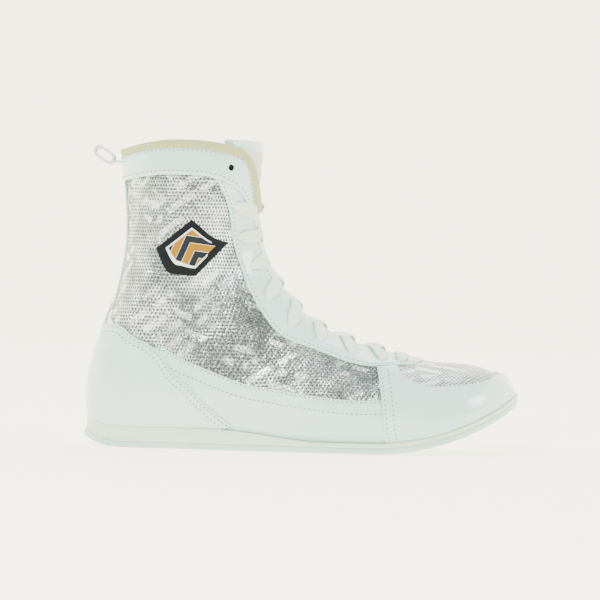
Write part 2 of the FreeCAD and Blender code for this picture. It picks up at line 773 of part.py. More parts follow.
LACE_ENDS = {
    "aglet_short": (lace_points[0], lace_points[1]),
    "aglet_long": (lace_points[-1], lace_points[-2]),
}
for name, (end, before) in LACE_ENDS.items():
    away = (end - before).normalize()
    aglet = doc.addObject("Part::Cylinder", name)
    aglet.Label = name
    aglet.setExpression("Radius", "Sizes.lace_diameter / 2")
    aglet.setExpression("Height", "Sizes.aglet_length")
    turn = FreeCAD.Rotation(Vector(0, 0, 1), away)
    aglet.Placement = FreeCAD.Placement(end + away * size("glue_gap"), turn)
    sub_parts.append(aglet)

# ---------------------------------------------------------------- badge, lateral side only
BADGE_CORNERS = {"left": (-98, 131.5), "top": (-75.5, 150.5), "right": (-51.5, 136.5), "bottom": (-72, 114)}
BADGE_CENTRE = (-74.5, 132.5)


def straight_rail(start, end):
    """Rail that looks straight from the side, between two points (x, z)."""
    def rail(depth, count, side):
        return [locate(start[0] + (end[0] - start[0]) * share, start[1] + (end[1] - start[1]) * share)
                for share in steps(count)]

    return rail


def badge_strip(share):
    """Four-sided plate whose corners lie a share of the way from the badge's centre to its corners."""
    corners = {}
    for corner, (x, z) in BADGE_CORNERS.items():
        centre_x, centre_z = BADGE_CENTRE
        corners[corner] = (centre_x + (x - centre_x) * share, centre_z + (z - centre_z) * share)
    upper = straight_rail(corners["left"], corners["top"])
    lower = straight_rail(corners["bottom"], corners["right"])
    return upper, lower, LATERAL, ALL_WALLS


BADGE_LAYERS = {"badge_base": 1.0, "badge_border": 0.84, "badge_inlay": 0.72}
badge_depth = LAYER_1
for name, share in BADGE_LAYERS.items():
    badge_top = badge_depth + (size("badge_thickness") if name == "badge_base" else size("badge_ply"))
    add_feature(name, panel_shape([badge_strip(share)], badge_top, badge_depth))
    badge_depth = badge_top + size("glue_gap")

# ---------------------------------------------------------------- sole
SLAB_OVERHANG = 3.0
boot_reach = size("boot_length") / 2 + SLAB_OVERHANG


def sole_outline(depth):
    """Closed outline on the ground of the upper at a depth, where it meets the sole."""
    points = []
    for side in SIDE_NAMES:
        toe_half = feather_rail("toe", VAMP_STATION)(depth, 9, side)
        heel_half = feather_rail("heel", VAMP_STATION)(depth, 12, side)[::-1]
        half = toe_half + heel_half[1:]
        if side == MEDIAL:
            half = half[-2:0:-1]
        for station, angle in half:
            point = place((station, side * angle), depth)
            points.append(Vector(point.x, point.y, 0))
    curve = Part.BSplineCurve()
    curve.interpolate(Points=points, PeriodicFlag=True)
    return Part.Wire([curve.toShape()])


def slab_edge(heel_lift, ball_lift):
    """Side view of a level of the sole: heel arc, flat, wedge, flat, toe arc."""
    start = -boot_reach
    heel_radius = size("heel_round_radius") * GRADE_X
    toe_radius = size("toe_spring_radius") * GRADE_X

    def level(x, lift):
        return Vector(x, 0, ground_clearance(x) + lift)

    heel_middle = HEEL_BREAK + (start - HEEL_BREAK) / 2
    toe_middle = TOE_BREAK + (boot_reach - TOE_BREAK) / 2
    heel_arc = Part.Arc(level(start, heel_lift), level(heel_middle, heel_lift), level(HEEL_BREAK, heel_lift))
    heel_flat = Part.LineSegment(level(HEEL_BREAK, heel_lift), level(WEDGE_BACK, heel_lift))
    third = (WEDGE_FRONT - WEDGE_BACK) / 3
    wedge = Part.BezierCurve()
    wedge.setPoles([level(WEDGE_BACK, heel_lift), level(WEDGE_BACK + third, heel_lift),
                    level(WEDGE_FRONT - third, ball_lift), level(WEDGE_FRONT, ball_lift)])
    ball_flat = Part.LineSegment(level(WEDGE_FRONT, ball_lift), level(TOE_BREAK, ball_lift))
    toe_arc = Part.Arc(
        level(TOE_BREAK, ball_lift), level(toe_middle, ball_lift), level(boot_reach, ball_lift))
    if heel_lift == ball_lift:
        long_flat = Part.LineSegment(level(HEEL_BREAK, heel_lift), level(TOE_BREAK, ball_lift))
        return [heel_arc.toShape(), long_flat.toShape(), toe_arc.toShape()]
    return [curve.toShape() for curve in (heel_arc, heel_flat, wedge, ball_flat, toe_arc)]


def height_wire(low, high):
    """Side view of a slab between two levels, each (lift at the heel, lift at the ball)."""
    bottom, top = slab_edge(*low), slab_edge(*high)
    ends = []
    for x, at_heel in ((-boot_reach, 0), (boot_reach, 1)):
        clearance = ground_clearance(x)
        ends.append(Part.LineSegment(Vector(x, 0, clearance + low[at_heel]),
                                     Vector(x, 0, clearance + high[at_heel])).toShape())
    return Part.Wire(bottom + [ends[1]] + top[::-1] + [ends[0]])


def sole_piece(label, depth, low, high):
    """Piece of the sole: its outline drawn up, common with its side view drawn across."""
    outline = doc.addObject("Part::Feature", label + "_outline")
    outline.Shape = Part.Face(sole_outline(depth))
    profile = doc.addObject("Part::Feature", label + "_profile")
    profile.Shape = Part.Face(height_wire(low, high))
    column = doc.addObject("Part::Extrusion", label + "_column")
    column.Base = outline
    column.Dir = Vector(0, 0, 1)
    column.setExpression("LengthFwd", "Sizes.boot_height")
    column.setExpression("LengthRev", "Sizes.boot_height")
    column.Solid = True
    slab = doc.addObject("Part::Extrusion", label + "_slab")
    slab.Base = profile
    slab.Dir = Vector(0, 1, 0)
    slab.setExpression("LengthFwd", "Sizes.ball_width")
    slab.setExpression("LengthRev", "Sizes.ball_width")
    slab.Solid = True
    piece = doc.addObject("Part::Common", label)
    piece.Label = label
    piece.Base = slab
    piece.Tool = column
    sub_parts.append(piece)
    return piece


def raised(level, rise):
    return level[0] + rise, level[1] + rise


ground_level = (0.0, 0.0)
tread_top = raised(ground_level, size("outsole_thickness"))
midsole_foot = raised(tread_top, size("glue_gap"))
feather_level = (size("heel_sole"), size("ball_sole"))
board_foot = raised(feather_level, size("glue_gap"))
board_top = raised(board_foot, size("board_thickness"))
insole_foot = raised(board_top, size("slide_gap"))
insole_top = raised(insole_foot, size("insole_thickness"))

SOLE_EDGE = LAYER_2_TOP + size("sole_margin")
sole_piece("outsole", SOLE_EDGE, ground_level, tread_top)
sole_piece("midsole", SOLE_EDGE, midsole_foot, feather_level)
sole_piece("insole_board", LINING_BACK - size("board_gap"), board_foot, board_top)
sole_piece("insole", LINING_BACK - size("insole_gap"), insole_foot, insole_top)

# ---------------------------------------------------------------- pull loop at the back of the collar
loop_back = place(on_back_seam(189.0), LAYER_2_TOP)
LOOP_TILT = 34.0
HINGE_OUT = 4.8
TAB_GAP = 1.6
TAB_THICKNESS = 1.2


def stadium(sketch, x_start, x_end, radius):
    """Slot outline along X in a sketch, with round ends."""
    upper = Part.LineSegment(Vector(x_start, radius, 0), Vector(x_end, radius, 0))
    lower = Part.LineSegment(Vector(x_end, -radius, 0), Vector(x_start, -radius, 0))
    far = Part.Arc(Vector(x_end, radius, 0), Vector(x_end + radius, 0, 0), Vector(x_end, -radius, 0))
    near = Part.Arc(Vector(x_start, -radius, 0), Vector(x_start - radius, 0, 0), Vector(x_start, radius, 0))
    sketch.addGeometry([upper, far, lower, near], False)


def origin_plane(body, role):
    return [plane for plane in body.Origin.OriginFeatures if plane.Role == role][0]


loop_body = doc.addObject("PartDesign::Body", "pull_loop")
loop_body.Label = "pull_loop"
loop_sketch = loop_body.newObject("Sketcher::SketchObject", "LoopSketch")
loop_sketch.AttachmentSupport = [(origin_plane(loop_body, "XZ_Plane"), "")]
loop_sketch.MapMode = "FlatFace"
loop_inner = 2.2
loop_outer = loop_inner + size("loop_webbing")
stadium(loop_sketch, loop_outer, size("loop_reach") - loop_outer, loop_outer)
stadium(loop_sketch, loop_outer, size("loop_reach") - loop_outer, loop_inner)
loop_pad = loop_body.newObject("PartDesign::Pad", "LoopPad")
loop_pad.Profile = loop_sketch
loop_pad.setExpression("Length", "Sizes.loop_width")
loop_pad.Midplane = True
loop_body.Tip = loop_pad
HINGE_POINT = loop_back + Vector(-HINGE_OUT, 0, 0)
loop_body.Placement = FreeCAD.Placement(HINGE_POINT, FreeCAD.Rotation(Vector(0, 1, 0), 180 + LOOP_TILT))
sub_parts.append(loop_body)

tab = doc.addObject("Part::Box", "pull_loop_tab")
tab.Label = "pull_loop_tab"
tab.setExpression("Width", "Sizes.loop_width")
tab.Height = TAB_THICKNESS
tab.Length = HINGE_OUT - TAB_GAP - size("glue_gap")
tab.Placement = FreeCAD.Placement(
    HINGE_POINT + Vector(TAB_GAP, -size("loop_width") / 2, -TAB_THICKNESS / 2), FreeCAD.Rotation())
sub_parts.append(tab)

# ---------------------------------------------------------------- checks and files
doc.recompute()
for item in doc.Objects:
    if "Invalid" in item.State or "Error" in item.State:
        raise RuntimeError("%s failed" % item.Label)
for feature in sub_parts:
    shape = feature.Shape
    if shape.isNull() or not shape.isValid() or len(shape.Solids) == 0:
        raise RuntimeError("%s has no valid solid" % feature.Label)
    print(feature.Label, len(shape.Solids), round(shape.Volume), shape.BoundBox)

os.makedirs("parts", exist_ok=True)
for feature in sub_parts:
    feature.Shape.exportStep("parts/%s.step" % feature.Label)
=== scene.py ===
import bmesh
import bpy
import json
import math
from mathutils import Matrix, Vector
from mathutils.bvhtree import BVHTree
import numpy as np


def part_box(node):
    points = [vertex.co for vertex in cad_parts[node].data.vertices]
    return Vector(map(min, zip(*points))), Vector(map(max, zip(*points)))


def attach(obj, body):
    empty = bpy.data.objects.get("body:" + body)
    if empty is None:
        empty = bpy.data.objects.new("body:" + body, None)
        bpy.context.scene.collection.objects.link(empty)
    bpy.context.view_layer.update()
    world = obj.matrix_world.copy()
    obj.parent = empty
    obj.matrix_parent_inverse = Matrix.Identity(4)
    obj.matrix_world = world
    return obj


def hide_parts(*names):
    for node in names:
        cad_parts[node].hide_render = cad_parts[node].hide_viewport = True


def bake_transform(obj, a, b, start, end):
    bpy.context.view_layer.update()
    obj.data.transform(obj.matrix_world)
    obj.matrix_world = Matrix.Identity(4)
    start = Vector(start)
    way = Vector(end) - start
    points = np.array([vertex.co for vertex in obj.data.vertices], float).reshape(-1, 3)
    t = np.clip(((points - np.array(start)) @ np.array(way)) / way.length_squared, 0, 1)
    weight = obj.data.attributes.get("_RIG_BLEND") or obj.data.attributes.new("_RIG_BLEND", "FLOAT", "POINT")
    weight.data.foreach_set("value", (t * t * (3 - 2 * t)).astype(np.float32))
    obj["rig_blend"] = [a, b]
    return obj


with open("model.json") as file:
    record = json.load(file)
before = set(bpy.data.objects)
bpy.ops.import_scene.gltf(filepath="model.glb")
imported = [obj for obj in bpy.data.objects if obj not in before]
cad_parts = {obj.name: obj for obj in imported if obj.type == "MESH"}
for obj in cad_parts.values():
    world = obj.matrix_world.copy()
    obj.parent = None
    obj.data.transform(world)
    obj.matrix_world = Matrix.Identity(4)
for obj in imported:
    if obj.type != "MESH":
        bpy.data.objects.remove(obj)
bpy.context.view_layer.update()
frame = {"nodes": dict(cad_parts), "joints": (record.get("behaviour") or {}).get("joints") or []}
nodes = frame["nodes"]
sides = {"lateral": -1, "medial": 1}
mm = 0.001
up = Vector((0, 0, 1))
print("stage: frame loaded")


# ---- shader sums: arithmetic on a Wire adds Math nodes
class Wire:
    def __init__(self, finish, socket):
        self.finish = finish
        self.socket = socket

    def maths(self, operation, *others):
        values = dict(enumerate((self,) + others))
        return self.finish.node("ShaderNodeMath", {"operation": operation}, values)

    def __add__(self, other):
        return self.maths("ADD", other)

    def __sub__(self, other):
        return self.maths("SUBTRACT", other)

    def __mul__(self, other):
        return self.maths("MULTIPLY", other)

    def __truediv__(self, other):
        return self.maths("DIVIDE", other)

    def __radd__(self, other):
        return self.maths("ADD", other)

    def __rmul__(self, other):
        return self.maths("MULTIPLY", other)

    def __rsub__(self, other):
        return self.finish.node("ShaderNodeMath", {"operation": "SUBTRACT"}, {0: other, 1: self})

    def least(self, other):
        return self.maths("MINIMUM", other)

    def most(self, other):
        return self.maths("MAXIMUM", other)

    def fraction(self):
        return self.maths("FRACT")

    def between(self, low, high):  # 0 below low, 1 above high, smooth in between
        settings = {"interpolation_type": "SMOOTHSTEP"}
        return self.finish.node("ShaderNodeMapRange", settings, {0: self, 1: low, 2: high, 3: 0.0, 4: 1.0})


class Finish:  # one material
    def __init__(self, name, space="Object", **fixed):
        self.material = bpy.data.materials.new(name)
        self.material.use_nodes = True
        self.tree = self.material.node_tree
        self.shader = self.tree.nodes["Principled BSDF"]
        for socket, value in fixed.items():
            self.shader.inputs[socket.replace("_", " ")].default_value = value
        self.place = self.node("ShaderNodeTexCoord", {}, {}, space)

    def plug(self, socket, value):
        if isinstance(value, Wire):
            self.tree.links.new(value.socket, socket)
        else:
            socket.default_value = value

    def node(self, kind, settings, values, output=0):
        node = self.tree.nodes.new(kind)
        for name, value in settings.items():
            setattr(node, name, value)
        for name, value in values.items():
            self.plug(node.inputs[name], value)
        return Wire(self, node.outputs[output])

    def noise(self, scale, detail=2.0, rough=0.5, place=None):
        values = {"Vector": place or self.place, "Scale": scale, "Detail": detail, "Roughness": rough}
        return self.node("ShaderNodeTexNoise", {}, values)

    def mix(self, factor, first, second):  # colours
        return self.node("ShaderNodeMix", {"data_type": "RGBA"}, {0: factor, 6: first, 7: second}, 2)

    def parts(self, place=None):
        split = self.tree.nodes.new("ShaderNodeSeparateXYZ")
        self.plug(split.inputs[0], place or self.place)
        return [Wire(self, output) for output in split.outputs]

    def turned(self, angle, shift=(0, 0, 0)):
        values = {"Vector": self.place, "Location": shift, "Rotation": (0, 0, angle)}
        return self.node("ShaderNodeMapping", {}, values)

    def bump(self, height, depth, strength=1.0):
        values = {"Height": height, "Distance": depth, "Strength": strength}
        self.finish("Normal", self.node("ShaderNodeBump", {}, values))

    def finish(self, socket, value):
        self.plug(self.shader.inputs[socket], value)


def colour(red, green, blue):
    return (red, green, blue, 1.0)


# ---- camera: level with the ankle, far away, a little turned
view = {"distance": 1.85, "height": 0.12, "aim": (-0.003, 0.0, 0.0994), "roll": 1.47, "across": 0.4019}


def addCamera():
    camera = bpy.data.objects.new("camera", bpy.data.cameras.new("camera"))
    bpy.context.scene.collection.objects.link(camera)
    spot = Vector((view["aim"][0], -view["distance"], view["height"]))
    back = (spot - Vector(view["aim"])).normalized()
    roll = math.radians(view["roll"])
    right = Vector((math.cos(roll), 0, math.sin(roll)))
    right = (right - back * right.dot(back)).normalized()
    head = back.cross(right)
    turn = Matrix((right, head, back)).transposed().to_4x4()
    camera.matrix_world = Matrix.Translation(spot) @ turn
    camera.data.sensor_width = 36.0
    camera.data.lens = 36.0 * view["distance"] / view["across"]
    bpy.context.scene.camera = camera


# ---- studio: a pale bowl and soft lamps
studio = {"floorRadius": 2.2, "wallHeight": 3.2, "bend": 1.0,
          "key": 120.0, "fill": 45.0, "top": 40.0, "sky": 0.6,
          "glow": 2.7}


def addLamp(name, spot, size, power, tint):
    lamp = bpy.data.lights.new(name, "AREA")
    lamp.shape = "DISK"
    lamp.size = size
    lamp.energy = power
    lamp.color = tint
    item = bpy.data.objects.new(name, lamp)
    bpy.context.scene.collection.objects.link(item)
    item.location = spot
    item.rotation_euler = (Vector(spot) - Vector((0, 0, 0.1))).to_track_quat("Z", "Y").to_euler()


def backdrop():
    # lit paper: brighter behind the boot than behind the camera
    finish = Finish("backdrop", Roughness=0.9, Emission_Strength=studio["glow"])
    _, depth, _ = finish.parts()
    rear = depth.between(-1.3, -0.85)
    finish.finish("Base Color", finish.mix(rear, colour(0.05, 0.05, 0.05), colour(0.80, 0.765, 0.69)))
    finish.finish("Emission Color", finish.mix(rear, colour(0, 0, 0), colour(1.0, 0.925, 0.72)))
    return finish


def addStudio():
    bowl = bmesh.new()
    radius, bend = studio["floorRadius"], studio["bend"]
    line = [bowl.verts.new((0.001, 0, 0)), bowl.verts.new((radius, 0, 0))]
    for step in range(1, 13):
        angle = step / 12 * math.pi / 2
        line.append(bowl.verts.new((radius + bend * math.sin(angle), 0, bend * (1 - math.cos(angle)))))
    line.append(bowl.verts.new((radius + bend, 0, studio["wallHeight"])))
    edges = [bowl.edges.new(pair) for pair in zip(line, line[1:])]
    bmesh.ops.spin(bowl, geom=line + edges, axis=up, cent=(0, 0, 0), angle=2 * math.pi, steps=96,
                   use_merge=True)
    bmesh.ops.remove_doubles(bowl, verts=bowl.verts, dist=0.002)
    bmesh.ops.recalc_face_normals(bowl, faces=bowl.faces)
    floor = addObject("floor", bowl, [backdrop().material])
    addLamp("key", (-1.2, -1.6, 1.7), 1.3, studio["key"], (1.0, 0.99, 0.97))
    addLamp("fill", (1.7, -1.2, 0.9), 1.0, studio["fill"], (0.97, 0.99, 1.0))
    addLamp("top", (0.2, 0.9, 2.0), 1.5, studio["top"], (1.0, 1.0, 1.0))
    world = bpy.data.worlds.new("studio")
    world.use_nodes = True
    world.node_tree.nodes["Background"].inputs[0].default_value = (0.97, 0.98, 1.0, 1.0)
    world.node_tree.nodes["Background"].inputs[1].default_value = studio["sky"]
    bpy.context.scene.world = world


# ---- mesh helpers
def addObject(name, shape, materials):
    mesh = bpy.data.meshes.new(name)
    for face in shape.faces:
        face.smooth = True
    shape.to_mesh(mesh)
    shape.free()
    for material in materials:
        mesh.materials.append(material)
    item = bpy.data.objects.new(name, mesh)
    bpy.context.scene.collection.objects.link(item)
    return item


def keep(item, body, slot, *replaced):
    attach(item, body)
    if replaced:
        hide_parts(*replaced)
    return item


def mergedCopy(*names, weld=0.04 * mm):
    shape = bmesh.new()
    for name in names:
        shape.from_mesh(nodes[name].data)
    bmesh.ops.remove_doubles(shape, verts=shape.verts, dist=weld)
    bmesh.ops.dissolve_degenerate(shape, edges=shape.edges, dist=0.01 * mm)
    return shape


def sharpEdges(shape, degrees):
    limit = math.radians(degrees)
    return [edge for edge in shape.edges if len(edge.link_faces) == 2 and edge.calc_face_angle(0) > limit]


def middleOfFoot(point):  # a point well inside the boot, level with this one
    if point.z > 75 * mm:
        return Vector((-75 * mm, 0, point.z))
    return Vector((min(max(point.x, -90 * mm), 105 * mm), 0, 28 * mm))


def outerSkin(name, inside=False):
    # the outer (or inner) face of a panel, without its walls
    shape = mergedCopy(name)
    cut = set(sharpEdges(shape, 38))
    left = set(shape.faces)
    best, bestArea = None, 0
    while left:
        patch, queue = [], [left.pop()]
        while queue:
            face = queue.pop()
            patch.append(face)
            for edge in face.edges:
                if edge not in cut:
                    for other in edge.link_faces:
                        if other in left:
                            left.remove(other)
                            queue.append(other)
        facing = 0
        for f in patch:
            middle = f.calc_center_median()
            facing += f.calc_area() * f.normal.dot(middle - middleOfFoot(middle))
        area = sum(f.calc_area() for f in patch)
        if (facing < 0) == inside and area > bestArea:
            best, bestArea = set(patch), area
    bmesh.ops.delete(shape, geom=[f for f in shape.faces if f not in best], context="FACES")
    return shape


def borders(shape):
    # closed border loops of a skin: lists of (point, normal), longest first
    edges = [edge for edge in shape.edges if len(edge.link_faces) == 1]
    ahead = {}
    for edge in edges:
        for loop in edge.link_loops:
            ahead[loop.vert] = loop.link_loop_next.vert
    loops = []
    while ahead:
        start, after = ahead.popitem()
        line = [start]
        while after != start and after in ahead:
            line.append(after)
            after = ahead.pop(after)
        loops.append([(vert.co.copy(), vert.normal.copy()) for vert in line])
    return sorted(loops, key=lineLength, reverse=True)


def lineLength(line):
    return sum((a[0] - b[0]).length for a, b in zip(line, line[1:]))


# ---- materials
leatherLook = {"white": colour(0.50, 0.70, 0.66), "shade": colour(0.43, 0.63, 0.60), "grain": 0.05 * mm}


def patentLeather(name="patentLeather"):
    finish = Finish(name, Roughness=0.22, Coat_Weight=0.7, Coat_Roughness=0.06, Specular_IOR_Level=0.5)
    clouds = finish.noise(14, 3)
    tint = finish.mix(clouds.between(0.35, 0.7), leatherLook["white"], leatherLook["shade"])
    finish.finish("Base Color", tint)
    wave = finish.noise(38, 2)
    grain = finish.noise(1400, 2)
    creases = finish.node("ShaderNodeTexVoronoi", {"feature": "DISTANCE_TO_EDGE"},
                          {"Vector": finish.place, "Scale": 260.0})
    finish.bump(wave * 6 + grain * 0.3 + creases.between(0.0, 0.2) * 0.35, leatherLook["grain"], 0.55)
    finish.finish("Roughness", 0.16 + finish.noise(120, 3) * 0.14)
    return finish


foilLook = {
    "pitch": 2.7 * mm, "hole": 0.78 * mm,
    "bright": colour(0.78, 0.86, 0.85), "dull": colour(0.20, 0.25, 0.25),
    "dark": colour(0.035, 0.05, 0.05)}


def dotLattice(finish, u, v, pitch):
    # distance to the nearest point of a triangular lattice, in pitches
    tall = pitch * math.sqrt(3)

    def cell(shift):
        across = ((u / pitch + shift).fraction() - 0.5) * 1.0
        along = ((v / tall + shift).fraction() - 0.5) * math.sqrt(3)
        return (across * across + along * along).maths("SQRT")

    return cell(0.0).least(cell(0.5))


def foilMesh(name="foilMesh", metal=1.0, lift=0.0):
    finish = Finish(name, "UV", Metallic=1.0)
    u, v, _ = finish.parts()
    wobble = finish.noise(90, 2) - 0.5
    dots = dotLattice(finish, u + wobble * 0.0006, v + wobble * 0.0006, foilLook["pitch"])
    radius = foilLook["hole"] / foilLook["pitch"]
    hole = 1.0 - dots.between(radius * 0.72, radius * 1.15)
    rim = dots.between(radius, radius * 1.9)

    def bars(angle, long, wide, shift):
        settings = {"offset": 0.5, "offset_frequency": 2, "squash": 1.0}
        values = {"Vector": finish.turned(angle, shift), "Scale": 1.0, "Mortar Size": wide * 0.30,
                  "Mortar Smooth": 0.08, "Brick Width": long, "Row Height": wide}
        return 1.0 - finish.node("ShaderNodeTexBrick", settings, values, "Fac")

    zones = finish.noise(22, 1).between(0.44, 0.5)
    first = bars(math.radians(14), 0.034, 0.0105, (0.003, 0.002, 0))
    second = bars(math.radians(-32), 0.028, 0.0095, (0.0, 0.004, 0))
    plain = first * (1 - zones) + second * zones
    plain = plain * finish.noise(30, 1, place=finish.turned(0, (0.4, 0.1, 0))).between(0.46, 0.52)
    small = finish.noise(420, 3, 0.6)
    crumple = finish.noise(70, 4, 0.62)
    crinkle = finish.node("ShaderNodeTexVoronoi", {"feature": "F1"}, {"Vector": finish.place, "Scale": 900.0})
    hole = hole * (1 - plain * 0.8)
    patches = finish.noise(24, 3, 0.6).between(0.42, 0.58)
    tone = (small.between(0.3, 0.75) * 0.42 + patches * 0.58).least(1.0)
    tone = (tone * (1 - lift) + lift * 0.6).most(plain * 0.9)
    silver = finish.mix(tone, foilLook["dull"], foilLook["bright"])
    finish.finish("Base Color", finish.mix(hole, silver, foilLook["dark"]))
    finish.finish("Roughness", 0.17 + small * 0.2 + hole * 0.5)
    finish.finish("Metallic", metal - hole * 0.85 * metal)
    folds = finish.noise(27, 2, 0.4)
    height = folds * 14 + crumple * 4.0 + small * 0.5 + crinkle * 0.25 * (1 - plain * 0.7)
    height = height - hole * 0.9 + rim * 0.15
    finish.bump(height, 0.45 * mm, 0.95)
    return finish


def threadFinish(name, tint, rough):
    finish = Finish(name, Roughness=rough, Sheen_Weight=0.2)
    strands = finish.node("ShaderNodeTexWave", {"bands_direction": "DIAGONAL"},
                          {"Vector": finish.place, "Scale": 900.0, "Distortion": 2.0})
    shade = colour(tint[0] * 0.86, tint[1] * 0.87, tint[2] * 0.86)
    finish.finish("Base Color", finish.mix(strands, tint, shade))
    finish.bump(strands, 0.05 * mm, 0.6)
    return finish


def clothFinish(name, tint, dark, pitch, relief, rough=0.85, sheen=0.3, space="Object"):
    # plain knit or weave: two crossed sets of ribs
    finish = Finish(name, space, Roughness=rough, Sheen_Weight=sheen)
    x, y, z = finish.parts()
    wave = 2 * math.pi / pitch
    warp = ((x + y * 0.7) * wave).maths("SINE")
    weft = ((z + y * 0.5) * wave).maths("SINE")
    weave = (warp * weft) * 0.5 + 0.5
    fuzz = finish.noise(600, 3)
    clouds = finish.noise(30, 2).between(0.3, 0.7)
    tone = (weave * 0.55 + fuzz * 0.3 + clouds * 0.15).least(1.0)
    finish.finish("Base Color", finish.mix(tone, dark, tint))
    finish.bump(weave + fuzz * 0.5, relief, 0.7)
    return finish


leather = patentLeather()
foil = foilMesh()
toeFoil = foilMesh("toeFoil", 0.35, 0.6)
thread = threadFinish("thread", colour(0.60, 0.67, 0.65), 0.6)
# painted shade: a near-black finish for the insides of needle holes and unlaced eyelets
holeShadePaint = Finish("holeShadePaint", Roughness=1.0, Base_Color=colour(0.015, 0.02, 0.02), Specular_IOR_Level=0.1)
liningCloth = clothFinish("liningCloth", colour(0.66, 0.70, 0.67), colour(0.42, 0.47, 0.44), 1.6 * mm,
                          0.12 * mm)
print("stage: materials")


# ---- leather panels: the CAD panel with rounded edges
panelLook = {"round": 0.32 * mm, "segments": 2}


def leatherPanel(name):
    shape = mergedCopy(name)
    edges = sharpEdges(shape, 40)
    bmesh.ops.bevel(shape, geom=edges, offset=panelLook["round"], offset_type="OFFSET", affect="EDGES",
                    segments=panelLook["segments"], profile=0.5, material=-1, clamp_overlap=True)
    return keep(addObject(name + "_panel", shape, [leather.material]), "boot", "patent_leather", name)


def addLeather():
    for side in sides:
        for panel in ("eyestay_", "side_rand_", "toe_guard_", "collar_band_"):
            leatherPanel(panel + side)
    for panel in ("heel_counter", "backstay"):
        leatherPanel(panel)


# ---- mesh fabric; its pattern is laid round the boot at its real size
drape = {"widest": 40 * mm, "middle": -78 * mm, "turn": 22 * mm, "footStart": -45 * mm, "footEnd": 0.0}


def smooth(value, low, high):
    share = min(max((value - low) / (high - low), 0.0), 1.0)
    return share * share * (3 - 2 * share)


def wrapSide(point):
    narrowing = drape["widest"] - abs(point.y)
    swing = 2 * smooth(point.x, drape["middle"] - drape["turn"], drape["middle"] + drape["turn"]) - 1
    foot = smooth(point.x, drape["footStart"], drape["footEnd"])
    return point.x + narrowing * swing * (1 - foot), point.z + narrowing * foot


def wrapToe(point):
    return point.x, point.y + point.y / drape["widest"] * (60 * mm - point.z)


def layPattern(item, rule):
    shape = bmesh.new()
    shape.from_mesh(item.data)
    layer = shape.loops.layers.uv.verify()
    for face in shape.faces:
        for loop in face.loops:
            loop[layer].uv = rule(loop.vert.co)
    shape.to_mesh(item.data)
    shape.free()


def addFoil():
    for side in sides:
        item = addObject("mesh_" + side, outerSkin("quarter_mesh_" + side), [foil.material])
        layPattern(item, wrapSide)
        keep(item, "boot", "silver_mesh", "quarter_mesh_" + side)
    item = addObject("mesh_toe", outerSkin("vamp_mesh"), [toeFoil.material])
    layPattern(item, wrapToe)
    keep(item, "boot", "silver_mesh", "vamp_mesh")


# ---- lines along the edges of panels
def evenLine(line, step):
    # the same line, its points a step apart
    length = lineLength(line)
    count = max(2, round(length / step) + 1)
    spaced, index, passed = [], 0, 0.0
    for number in range(count):
        target = length * number / (count - 1)
        span = (line[index + 1][0] - line[index][0]).length
        while passed + span < target and index < len(line) - 2:
            passed += span
            index += 1
            span = (line[index + 1][0] - line[index][0]).length
        share = min(max((target - passed) / max(span, 1e-9), 0.0), 1.0)
        spot = line[index][0].lerp(line[index + 1][0], share)
        spaced.append((spot, line[index][1].lerp(line[index + 1][1], share).normalized()))
    return spaced


def sidesOfLoop(loop, corner=48, reach=3):
    # split a border loop at its corners
    closed = evenLine(loop + loop[:1], 1.0 * mm)[:-1]
    count = len(closed)
    turns = []
    for index in range(count):
        spot = closed[index][0]
        before = spot - closed[index - reach][0]
        after = closed[(index + reach) % count][0] - spot
        turns.append(before.angle(after, 0))
    corners = [i for i in range(count) if turns[i] > math.radians(corner)
               and turns[i] == max(turns[(i + k) % count] for k in range(-4, 5))]
    if not corners:
        return [closed + closed[:1]]
    parts = []
    for first, last in zip(corners, corners[1:] + [corners[0] + count]):
        part = [closed[i % count] for i in range(first, last + 1)]
        if len(part) > 6:
            parts.append(part)
    return parts


def mean(line, axis):
    return sum(point[axis] for point, _ in line) / len(line)


def panelEdge(name, rule, shortest=30 * mm):
    # the side of a panel's outline that has the most of a rule
    parts = [part for part in sidesOfLoop(borders(outerSkin(name))[0]) if lineLength(part) > shortest]
    return max(parts, key=rule)


# ---- stitching, with dark discs at the needle holes as painted shade
sewing = {"pitch": 3.1 * mm, "long": 1.05 * mm, "thick": 0.34 * mm, "rise": 0.3 * mm, "hole": 0.42 * mm}


def stamp(shape, pattern, spot, ahead, normal):
    across = normal.cross(ahead).normalized()
    ahead = across.cross(normal)
    mesh = pattern.copy()
    mesh.transform(Matrix((ahead, across, normal)).transposed().to_4x4())
    mesh.transform(Matrix.Translation(spot))
    shape.from_mesh(mesh)
    bpy.data.meshes.remove(mesh)


def insetLine(line, inset, surface):
    moved = []
    for index in range(len(line)):
        before, after = line[max(index - 1, 0)][0], line[min(index + 1, len(line) - 1)][0]
        inward = line[index][1].cross(after - before).normalized()
        spot, normal, _, _ = surface.find_nearest(line[index][0] + inward * inset)
        moved.append((spot, normal))
    return moved


def sewRow(threads, holes, name, line, inset):
    surface = surfaces[name]
    row = evenLine(insetLine(line, inset, surface), sewing["pitch"])
    for (first, normal), (second, _) in zip(row, row[1:]):
        middle, ahead = (first + second) / 2, second - first
        spot, facing, _, _ = surface.find_nearest(middle)
        stamp(threads, threadPattern, spot + facing * 0.05 * mm, ahead, facing)
        # a dark disc at each needle hole: painted shade inside the hole
        stamp(holes, holeShadeDisc, first + normal * 0.02 * mm, ahead, normal)


